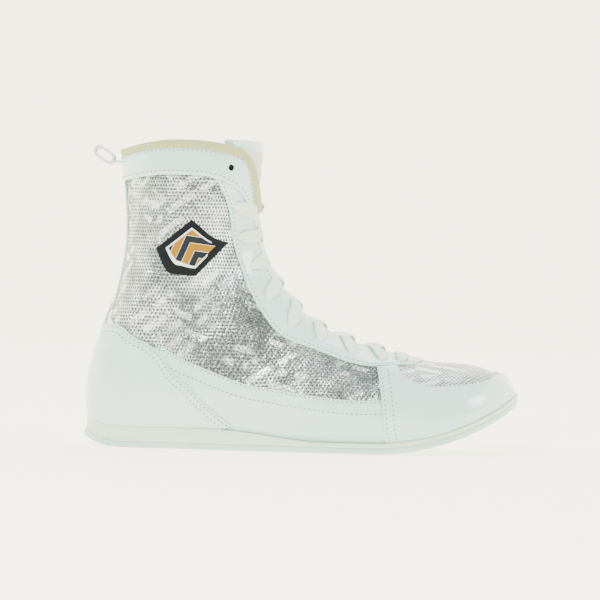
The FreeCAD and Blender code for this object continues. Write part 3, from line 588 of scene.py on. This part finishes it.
def addSewing():
    threads, holes = bmesh.new(), bmesh.new()
    rows = []
    for side, sign in sides.items():
        rows.append(("eyestay_", side, lambda line: mean(line, 1) * sign, (2.1,)))
        rows.append(("eyestay_", side, lambda line: -mean(line, 1) * sign, (1.9,)))
        rows.append(("collar_band_", side, lambda line: -mean(line, 2), (2.6,)))
        rows.append(("collar_band_", side, lambda line: mean(line, 2), (0.9,)))
        rows.append(("side_rand_", side, lambda line: mean(line, 2), (1.4, 9.0)))
        rows.append(("toe_guard_", side, lambda line: mean(line, 2), (1.5, 4.6)))
        rows.append(("toe_guard_", side, lambda line: -mean(line, 0), (1.9, 6.8)))
        for name, side, rule, insets in rows:
            line = panelEdge(name + side, rule)
            for inset in insets:
                sewRow(threads, holes, name + side, line, inset * mm)
        rows = []
    line = panelEdge("heel_counter", lambda line: mean(line, 2))
    for inset in (1.7, 5.0):
        sewRow(threads, holes, "heel_counter", line, inset * mm)
    for sign in sides.values():
        line = panelEdge("backstay", lambda line: mean(line, 1) * sign)
        sewRow(threads, holes, "backstay", line, 1.3 * mm)
    keep(addObject("stitching", threads, [thread.material]), "boot", "lace")
    keep(addObject("needle_hole_shade_paint", holes, [holeShadePaint.material]), "boot", "badge_black")


# ---- swept bands and cords
def sweep(shape, frames, segments=12, square=1.0):
    # a ring carried through frames: x and y columns are the half width and half thickness
    along, across = shape.verts.layers.float["along"], shape.verts.layers.float["across"]
    made = bmesh.ops.create_circle(shape, cap_ends=True, radius=1.0, segments=segments)["verts"]
    for vert in made:
        x, y = vert.co.x, vert.co.y
        vert.co.x = math.copysign(abs(x) ** square, x)
        vert.co.y = math.copysign(abs(y) ** square, y)
        vert[across] = vert.co.x * frames[0].col[0].length
        vert[along] = 0.0
        vert.co = frames[0] @ vert.co
    ring = list({edge for vert in made for edge in vert.link_edges})
    passed = 0.0
    for before, after in zip(frames, frames[1:]):
        passed += (after.translation - before.translation).length
        step = bmesh.ops.extrude_edge_only(shape, edges=ring)["geom"]
        verts = [item for item in step if isinstance(item, bmesh.types.BMVert)]
        ring = [item for item in step if isinstance(item, bmesh.types.BMEdge)]
        bmesh.ops.transform(shape, matrix=after @ before.inverted(), verts=verts)
        for vert in verts:
            vert[along] = passed
    bmesh.ops.contextual_create(shape, geom=ring)


def sweepShape():
    shape = bmesh.new()
    shape.verts.layers.float.new("along")
    shape.verts.layers.float.new("across")
    return shape


def framesAlong(points, normals, widths, thicknesses):
    frames = []
    for index, point in enumerate(points):
        before, after = points[max(index - 1, 0)], points[min(index + 1, len(points) - 1)]
        ahead = (after - before).normalized()
        across = normals[index].cross(ahead).normalized()
        normal = ahead.cross(across)
        columns = (across * widths[index], normal * thicknesses[index], ahead * mm)
        frames.append(Matrix.Translation(point) @ Matrix(columns).transposed().to_4x4())
    return frames


def finishSweep(name, shape, material):
    bmesh.ops.recalc_face_normals(shape, faces=shape.faces)
    return addObject(name, shape, [material])


# ---- knitted collar binding
rollLook = {"step": 1.5 * mm, "height": 2.9 * mm, "sink": 2.3 * mm, "proud": 0.35 * mm}


def rimLine(side, inside):
    # the free edge of the collar, from the back seam to its front end
    name = "collar_binding_" + side
    loop = borders(outerSkin(name, inside))[0]
    middle = Vector((-80 * mm, 0, 150 * mm))
    parts = [part for part in sidesOfLoop(loop) if lineLength(part) > 60 * mm]

    def spread(part):
        return sum(math.hypot(p.x - middle.x, p.z - middle.z) for p, _ in part) / len(part)

    line = max(parts, key=spread)
    if line[0][0].x > line[-1][0].x:
        line = line[::-1]
    return evenLine(line, 1.0 * mm)


def addBinding():
    shape = sweepShape()
    path = []
    for side in sides:
        outer, inner = rimLine(side, False), rimLine(side, True)
        count = int(lineLength(outer) / rollLook["step"])
        half = []
        for index in range(count + 1):
            a, _ = outer[round(index / count * (len(outer) - 1))]
            b, _ = inner[round(index / count * (len(inner) - 1))]
            half.append(((a + b) / 2, (a - b)))
        path = half[::-1][:-1] + path if side == "lateral" else path + half[1:]
    points, normals, widths, thicknesses = [], [], [], []
    for index, (spot, through) in enumerate(path):
        before, after = path[max(index - 1, 0)][0], path[min(index + 1, len(path) - 1)][0]
        outward = through.normalized()
        rise = outward.cross(after - before).normalized()
        if rise.dot(spot - Vector((-80 * mm, 0, 150 * mm))) < 0:
            rise = -rise
        points.append(spot - rise * (rollLook["sink"] if 0 < index < len(path) - 1 else 2.6 * mm))
        normals.append(rise)
        widths.append(through.length / 2 + rollLook["proud"])
        thicknesses.append(rollLook["height"])
    for _ in range(3):
        inner = [(a + 2 * b + c) / 4 for a, b, c in zip(points, points[1:], points[2:])]
        points = points[:1] + inner + points[-1:]
    sweep(shape, framesAlong(points, normals, widths, thicknesses), 20, 0.8)
    roll = finishSweep("collar_binding_roll", shape, bindingKnit.material)
    keep(roll, "boot", "knit_binding", "collar_binding_lateral", "collar_binding_medial")


def ribFinish(name, tint, dark, ribs, slant, relief, rough):
    # ribs across a swept band: they follow its own length
    finish = Finish(name, Roughness=rough, Sheen_Weight=0.35)
    along = finish.node("ShaderNodeAttribute", {"attribute_name": "along"}, {}, "Fac")
    across = finish.node("ShaderNodeAttribute", {"attribute_name": "across"}, {}, "Fac")
    wave = 2 * math.pi / ribs
    first = ((along + across * slant) * wave).maths("SINE")
    second = (across * (wave * 0.8)).maths("SINE")
    weave = (first + second * 0.6) * 0.3 + 0.5
    fuzz = finish.noise(700, 3)
    finish.finish("Base Color", finish.mix((weave * 0.7 + fuzz * 0.35).least(1.0), dark, tint))
    finish.bump(weave + fuzz * 0.4, relief, 0.8)
    return finish


bindingKnit = ribFinish("bindingKnit", colour(0.56, 0.58, 0.27), colour(0.17, 0.18, 0.06), 1.5 * mm, 0.8,
                        0.4 * mm, 0.9)
laceWeave = ribFinish("laceWeave", colour(0.66, 0.77, 0.67), colour(0.50, 0.62, 0.53), 0.9 * mm, 0.5,
                      0.1 * mm, 0.8)
webbing = ribFinish("webbing", colour(0.62, 0.69, 0.67), colour(0.48, 0.56, 0.54), 1.1 * mm, 0.0,
                    0.14 * mm, 0.75)


# ---- flat lace: strands that cross over the tongue
laceLook = {"width": 4.5 * mm, "thick": 1.05 * mm, "neck": 2.1 * mm, "neckThick": 1.25 * mm, "leaf": 9 * mm,
            "step": 1.4 * mm}


def eyelets(side):
    found = []
    for loop in borders(outerSkin("eyestay_" + side))[1:]:
        if 10 * mm < lineLength(loop) < 18 * mm:
            spot = sum((point for point, _ in loop), Vector()) / len(loop)
            normal = sum((direction for _, direction in loop), Vector()).normalized()
            found.append((spot, normal))
    return sorted(found, key=lambda eyelet: eyelet[0].z)


def tautStrand(start, end, grounds, lift, stopAt=None):
    # a band pulled tight from hole to hole over the surfaces below it
    (a, normalA), (b, normalB) = start, end
    front = (normalA + normalB)
    front.y = 0
    front.normalize()
    count = max(8, round((b - a).length / laceLook["step"]))
    floorLine = []
    for index in range(count + 1):
        chord = a.lerp(b, index / count)
        hits = [ground.ray_cast(chord + front * 60 * mm, -front) for ground in grounds]
        hits = [(hit[0], hit[1]) for hit in hits if hit[0] is not None]
        stop = stopAt.ray_cast(chord + front * 60 * mm, -front) if stopAt else (None,)
        if stop[0] is not None and index > count * 0.55:
            break
        if hits:
            spot, normal = max(hits, key=lambda hit: hit[0].dot(front))
            floorLine.append((spot + normal * lift, normal))
    line = [spot for spot, _ in floorLine]
    for _ in range(160):
        for index in range(1, len(line) - 1):
            middle = (line[index - 1] + line[index + 1]) / 2
            short = (floorLine[index][0] - middle).dot(front)
            line[index] = middle + front * max(short, 0.0)
    return line, [normal.lerp(front, 0.2).normalized() for _, normal in floorLine]


def leavingHole(spot, normal, goal):
    # out of a hole and round its rim towards the goal
    ahead = (goal - spot) - normal * (goal - spot).dot(normal)
    ahead.normalize()
    rises = ((-2.4, -1.2), (-0.4, -2.0), (1.0, -1.5), (1.5, 0.4), (1.45, 2.4))
    return ([spot + normal * rise * mm + ahead * shift * mm for rise, shift in rises],
            [(normal - ahead).normalized(), (normal - ahead * 0.7).normalized(), normal, normal, normal])


def addStrand(shape, start, end, grounds, lift, stopAt):
    line, normals = tautStrand(start, end, grounds, lift, stopAt)
    (a, normalA), (b, normalB) = start, end
    knuckle, facings = leavingHole(a, normalA, line[3])
    line, normals = knuckle + line[3:], facings + normals[3:]
    if stopAt:
        edge = line[-1]
        line += [edge.lerp(b, 0.4) - normalB * 2.6 * mm, b - normalB * 4.2 * mm]
        normals += [normalB] * 2
    else:
        knuckle, facings = leavingHole(b, normalB, line[-4])
        line, normals = line[:-3] + knuckle[::-1], normals[:-3] + facings[::-1]
    for _ in range(1):
        middle = [(p + 2 * q + r) / 4 for p, q, r in zip(line, line[1:], line[2:])]
        line = line[:1] + middle + line[-1:]
    widths, thicknesses = [], []
    passed = 0.0
    total = sum((q - p).length for p, q in zip(line, line[1:]))
    for index, point in enumerate(line):
        passed += (point - line[max(index - 1, 0)]).length
        left = passed if stopAt else min(passed, total - passed)
        share = smooth(left, 1.0 * mm, laceLook["leaf"])
        widths.append(laceLook["neck"] + (laceLook["width"] - laceLook["neck"]) * share)
        thicknesses.append(laceLook["neckThick"] + (laceLook["thick"] - laceLook["neckThick"]) * share)
    sweep(shape, framesAlong(line, normals, widths, thicknesses), 16, 0.85)


def addLaces():
    shape = sweepShape()
    holes = {side: eyelets(side) for side in sides}
    grounds = {side: surfaces["eyestay_" + side] for side in sides}
    tongue = surfaces["tongue"]
    laced = min(len(holes["lateral"]), len(holes["medial"])) - 1
    for number in range(1, laced - 1):
        for layer, side in enumerate(sides):
            other = "medial" if side == "lateral" else "lateral"
            lift = laceLook["thick"] * (1.15 + 2.0 * layer)
            addStrand(shape, holes[side][number], holes[other][number + 1], [grounds[side], tongue], lift,
                      grounds[other])
    for number in (0, laced - 1):
        addStrand(shape, holes["lateral"][number], holes["medial"][number],
                  [grounds["lateral"], tongue, grounds["medial"], surfaces["collar_binding"]],
                  laceLook["thick"] * 1.2, None)
    for side, tip in (("medial", "aglet_short"), ("lateral", "aglet_long")):
        spot, normal = holes[side][laced - 1]
        low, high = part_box(tip)
        end = (low + high) / 2
        end.z = high.z
        line = [(spot - normal * 3.0 * mm).lerp(end, k / 24) for k in range(25)]
        ground = surfaces["lining_" + side]
        bent = []
        for point in line:
            nearest, facing, _, _ = ground.find_nearest(point)
            bent.append(nearest + facing * 1.0 * mm if (point - nearest).dot(facing) < 1.0 * mm else point)
        facings = [ground.find_nearest(point)[1] for point in bent]
        sweep(shape, framesAlong(bent, facings, [2.6 * mm] * 25, [0.8 * mm] * 25), 12, 0.62)
    keep(finishSweep("lace_band", shape, laceWeave.material), "boot", "lace", "lace")
    # dark discs behind the unlaced top eyelets: painted shade in place of the bright lining seen through them
    dark = bmesh.new()
    for side in sides:
        spot, normal = holes[side][laced]
        plug = pattern(bmesh.ops.create_circle, {"cap_ends": True, "radius": 1.0, "segments": 20},
                       (2.3 * mm,) * 3)
        stamp(dark, plug, spot - normal * 0.9 * mm, normal.orthogonal(), normal)
    keep(addObject("eyelet_shade_paint", dark, [holeShadePaint.material]), "boot", "badge_black")


# ---- tongue: padded, sewn from a cover, foam and lining
tongueLook = {"voxel": 1.5 * mm, "pressure": 3.0, "cap": 1.3 * mm, "frames": 14}


def bakedMesh(item):
    graph = bpy.context.evaluated_depsgraph_get()
    mesh = bpy.data.meshes.new_from_object(item.evaluated_get(graph))
    item.modifiers.clear()
    item.data = mesh


def puff(item, pressure, cap, frames):
    # blow the closed piece up a little, as its filling does
    rest = [vert.co.copy() for vert in item.data.vertices]
    cloth = item.modifiers.new("cloth", "CLOTH")
    cloth.settings.use_pressure = True
    cloth.settings.uniform_pressure_force = pressure
    cloth.settings.effector_weights.gravity = 0
    cloth.settings.quality = 4
    cloth.point_cache.frame_end = frames
    for number in range(1, frames + 1):
        bpy.context.scene.frame_set(number)
    bakedMesh(item)
    bpy.context.scene.frame_set(1)
    for vert, start in zip(item.data.vertices, rest):
        shift = vert.co - start
        if shift.length > cap:
            vert.co = start + shift * (cap / shift.length)


def paddedPiece(name, material, parts, look):
    item = addObject(name, mergedCopy(*parts), [material])
    remesh = item.modifiers.new("remesh", "REMESH")
    remesh.mode = "VOXEL"
    remesh.voxel_size = look["voxel"]
    soften = item.modifiers.new("soften", "SMOOTH")
    soften.factor, soften.iterations = 0.5, 14
    bakedMesh(item)
    puff(item, look["pressure"], look["cap"], look["frames"])
    soften = item.modifiers.new("soften", "SMOOTH")
    soften.factor, soften.iterations = 0.5, 4
    bakedMesh(item)
    for face in item.data.polygons:
        face.use_smooth = True
    return item


def addTrim(item, height, slope, rise):
    # turn everything above a slanted line into a raised leather trim
    shape = bmesh.new()
    shape.from_mesh(item.data)
    across = Vector((-slope, 0, 1)).normalized()
    start = Vector((-50 * mm, 0, height))
    everything = shape.verts[:] + shape.edges[:] + shape.faces[:]
    bmesh.ops.bisect_plane(shape, geom=everything, plane_co=start, plane_no=across)
    shape.normal_update()
    for face in shape.faces:
        face.material_index = 1 if (face.calc_center_median() - start).dot(across) > 0 else 0
    for vert in shape.verts:
        if (vert.co - start).dot(across) > 0.2 * mm:
            vert.co += vert.normal * rise
    shape.to_mesh(item.data)
    shape.free()
    item.data.materials.append(leather.material)


trimLook = {"height": 196.5 * mm, "slope": 0.06, "rise": 0.5 * mm}
rootLook = {"reach": 14 * mm, "shift": Vector((9 * mm, 0, -4.2 * mm))}


def addTongue():
    layers = ["cover", "foam", "lining"]
    parts = ["tongue_" + layer for layer in layers] + ["tongue_top_" + layer for layer in layers]
    tongue = paddedPiece("tongue_pad", tongueCloth.material, parts, tongueLook)
    # the root goes on under the toe box
    front = max(vert.co.x for vert in tongue.data.vertices)
    for vert in tongue.data.vertices:
        vert.co += rootLook["shift"] * smooth(vert.co.x, front - rootLook["reach"], front)
    addTrim(tongue, trimLook["height"], trimLook["slope"], trimLook["rise"])
    fold = jointSpot("tongue_fold")
    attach(tongue, "boot")
    tongue.parent = None
    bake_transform(tongue, "boot", "tongue_top", start=fold - up * 4 * mm, end=fold + up * 4 * mm)
    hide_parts(*parts)
    surfaces["tongue"] = surfaceOf(tongue)


def jointSpot(name):
    joint = [joint for joint in frame["joints"] if joint["name"] == name][0]
    return Vector(joint["pos_m"])


def surfaceOf(item):
    shape = bmesh.new()
    shape.from_mesh(item.data)
    tree = BVHTree.FromBMesh(shape)
    shape.free()
    return tree


tongueCloth = clothFinish("tongueCloth", colour(0.60, 0.67, 0.63), colour(0.40, 0.47, 0.44), 1.2 * mm,
                          0.12 * mm)


# ---- sole
soleLook = {"round": 0.4 * mm, "flare": 0.9 * mm, "tuck": 2.1 * mm}


def soleRubber(name, tint, shade, rough):
    finish = Finish(name, Roughness=rough, Subsurface_Weight=0.06, Coat_Weight=0.2, Coat_Roughness=0.25)
    cloud = finish.noise(30, 3)
    finish.finish("Base Color", finish.mix(cloud.between(0.35, 0.7), tint, shade))
    finish.bump(finish.noise(900, 3) + finish.noise(60, 2) * 4, 0.05 * mm, 0.6)
    finish.finish("Roughness", rough + finish.noise(200, 2) * 0.12)
    return finish


cream = soleRubber("cream", colour(0.53, 0.68, 0.50), colour(0.47, 0.62, 0.45), 0.42)
mint = soleRubber("mint", colour(0.42, 0.61, 0.55), colour(0.37, 0.56, 0.50), 0.34)


def addSole():
    layers = (("outsole", mint, soleLook["round"]), ("midsole", cream, soleLook["round"] * 0.8))
    for name, finish, lip in layers:
        shape = mergedCopy(name)
        edges = sharpEdges(shape, 45)
        bmesh.ops.bevel(shape, geom=edges, offset=lip, segments=3, profile=0.5, affect="EDGES", material=-1)
        for vert in shape.verts:
            low = 1 - smooth(vert.co.z, 2 * mm, 12 * mm)
            rear = 1 - smooth(vert.co.x, -140 * mm, -70 * mm)
            outward = Vector((vert.co.x + 95 * mm, vert.co.y * 1.2, 0)).normalized()
            tuck = smooth(vert.co.z, 6 * mm, 13 * mm)
            vert.co += outward * (soleLook["flare"] * low - soleLook["tuck"] * tuck) * rear
        item = addObject(name + "_rubber", shape, [finish.material])
        keep(item, "boot", name, name)
        surfaces[name] = surfaceOf(item)
    addTread()


treadLook = {"pitch": 9.0 * mm, "long": 3.1 * mm, "deep": 0.35 * mm}


def addTread():
    # low hexagonal pods under the sole
    shape = bmesh.new()
    cone = {"cap_ends": True, "radius1": 1.0, "radius2": 0.8, "depth": 1.0, "segments": 6}
    pod = pattern(bmesh.ops.create_cone, cone, (treadLook["long"], treadLook["long"], treadLook["deep"]))
    pitch = treadLook["pitch"]
    for row in range(-17, 18):
        for column in range(-6, 7):
            spot = Vector((row * pitch, (column + 0.5 * (row % 2)) * pitch, 0))
            around = [spot + Vector((x, y, 0)) * 9.0 * mm for x, y in ((1, 0), (-1, 0), (0, 1), (0, -1))]
            hits = [surfaces["outsole"].ray_cast(place - up * 20 * mm, up) for place in around + [spot]]
            if any(hit[0] is None or hit[1].z > -0.985 for hit in hits):
                continue
            spot, normal = hits[-1][0], hits[-1][1]
            stamp(shape, pod, spot + up * treadLook["deep"] * 0.45, Vector((1, 0, 0)), normal)
    keep(addObject("tread", shape, [mint.material]), "boot", "outsole")


# ---- badge, insole, linings and pull loop
def chevronFinish():
    # gold chevrons with pale outlines on black, turned like the badge
    finish = Finish("badgeChevrons", Roughness=0.7, Specular_IOR_Level=0.08)
    x, _, z = finish.parts()
    x, z = x + 74.4 * mm, z - 133.0 * mm
    tilt = math.radians(-30)
    u = x * math.cos(tilt) - z * math.sin(tilt)
    v = x * math.sin(tilt) + z * math.cos(tilt)
    wave = (((u.maths("ABSOLUTE") * 0.75 + v) / (11.5 * mm)).fraction() - 0.5).maths("ABSOLUTE")
    gold = wave.between(0.22, 0.235)
    line = gold - wave.between(0.245, 0.26)
    dark = finish.mix(gold, colour(0.012, 0.016, 0.02), colour(0.27, 0.125, 0.0))
    finish.finish("Base Color", finish.mix(line, dark, colour(0.75, 0.78, 0.78)))
    finish.bump(gold + finish.noise(900, 2) * 0.1, 0.5 * mm, 0.9)
    return finish


def plainFinish(name, tint, rough, shine=0.3):
    finish = Finish(name, Roughness=rough, Specular_IOR_Level=shine)
    cloud = finish.noise(40, 3).between(0.3, 0.7)
    finish.finish("Base Color", finish.mix(cloud, tint, tuple(part * 0.85 for part in tint)))
    finish.bump(finish.noise(800, 3) + finish.noise(90, 2), 0.06 * mm, 0.7)
    return finish


def roundedCopy(name, material, radius, degrees=40, segments=2, shrink=1.0):
    shape = mergedCopy(name)
    low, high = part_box(name)
    middle = (Vector(low) + Vector(high)) / 2
    bmesh.ops.scale(shape, vec=(shrink, 1, shrink), space=Matrix.Translation(-middle), verts=shape.verts)
    edges = sharpEdges(shape, degrees)
    bmesh.ops.bevel(shape, geom=edges, offset=radius, segments=segments, profile=0.5, affect="EDGES",
                    material=-1, clamp_overlap=True)
    return addObject(name + "_made", shape, [material])


def addSmallParts():
    keep(roundedCopy("badge_base", badgeBlack.material, 0.5 * mm), "boot", "badge_black", "badge_base")
    border = roundedCopy("badge_border", badgeWhite.material, 0.2 * mm, shrink=0.87)
    keep(border, "boot", "badge_white", "badge_border")
    inlay = roundedCopy("badge_inlay", chevronFinish().material, 0.2 * mm, shrink=0.9)
    keep(inlay, "boot", "badge_gold", "badge_inlay")
    keep(roundedCopy("pull_loop", webbing.material, 0.35 * mm), "pull_loop", "webbing", "pull_loop")
    tab = roundedCopy("pull_loop_tab", webbing.material, 0.3 * mm)
    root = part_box("pull_loop_tab")[1][0]
    for vert in tab.data.vertices:
        vert.co.x = root + (vert.co.x - root) * 1.95
    keep(tab, "boot", "webbing", "pull_loop_tab")
    keep(roundedCopy("insole", insoleCloth.material, 0.9 * mm, 50, 3), "insole", "insole", "insole")
    for name, material in coveredNodes.items():
        item = nodes[name]
        item.data.materials.clear()
        item.data.materials.append(material)


badgeBlack = plainFinish("badgeBlack", colour(0.004, 0.006, 0.008), 0.6, 0.1)
badgeWhite = plainFinish("badgeWhite", colour(0.72, 0.76, 0.76), 0.4)
foam = plainFinish("foam", colour(0.62, 0.60, 0.50), 0.95)
board = plainFinish("board", colour(0.45, 0.36, 0.25), 0.85)
insoleCloth = clothFinish("insoleCloth", colour(0.62, 0.66, 0.64), colour(0.40, 0.45, 0.43), 1.4 * mm,
                          0.15 * mm)
agletPlastic = plainFinish("agletPlastic", colour(0.60, 0.68, 0.66), 0.25)
coveredNodes = {"aglet_short": agletPlastic.material, "aglet_long": agletPlastic.material,
                "insole_board": board.material, "counter_stiffener": leather.material,
                "toe_puff": leather.material,
                "vamp_lining": liningCloth.material}
for side in sides:
    coveredNodes["collar_foam_" + side] = foam.material
    for layer in ("quarter_backing_", "quarter_lining_", "collar_lining_"):
        coveredNodes[layer + side] = liningCloth.material


def pattern(maker, settings, scale):
    shape = bmesh.new()
    maker(shape, **settings)
    bmesh.ops.scale(shape, vec=scale, verts=shape.verts)
    mesh = bpy.data.meshes.new("pattern")
    for face in shape.faces:
        face.smooth = True
    shape.to_mesh(mesh)
    shape.free()
    return mesh


threadPattern = pattern(bmesh.ops.create_icosphere, {"subdivisions": 1, "radius": 1.0},
                        (sewing["long"], sewing["thick"], sewing["rise"]))
# the needle-hole disc: painted shade, drawn dark
holeShadeDisc = pattern(bmesh.ops.create_circle, {"cap_ends": True, "radius": sewing["hole"], "segments": 6},
                      (1.25, 1.0, 1.0))
surfaces = {}
for name in nodes:
    if any(word in name for word in ("eyestay", "band", "rand", "guard", "counter", "backstay")):
        surfaces[name] = BVHTree.FromBMesh(outerSkin(name))
for side in sides:
    surfaces["lining_" + side] = BVHTree.FromBMesh(outerSkin("quarter_lining_" + side, True))
surfaces["collar_binding"] = BVHTree.FromBMesh(mergedCopy("collar_binding_lateral", "collar_binding_medial"))

addCamera()
addStudio()
addLeather()
print("stage: leather")
addFoil()
print("stage: mesh fabric")
addSewing()
print("stage: stitching")
addTongue()
print("stage: tongue")
addBinding()
print("stage: collar binding")
addLaces()
print("stage: lace")
addSole()
print("stage: sole")
addSmallParts()
print("stage: small parts")
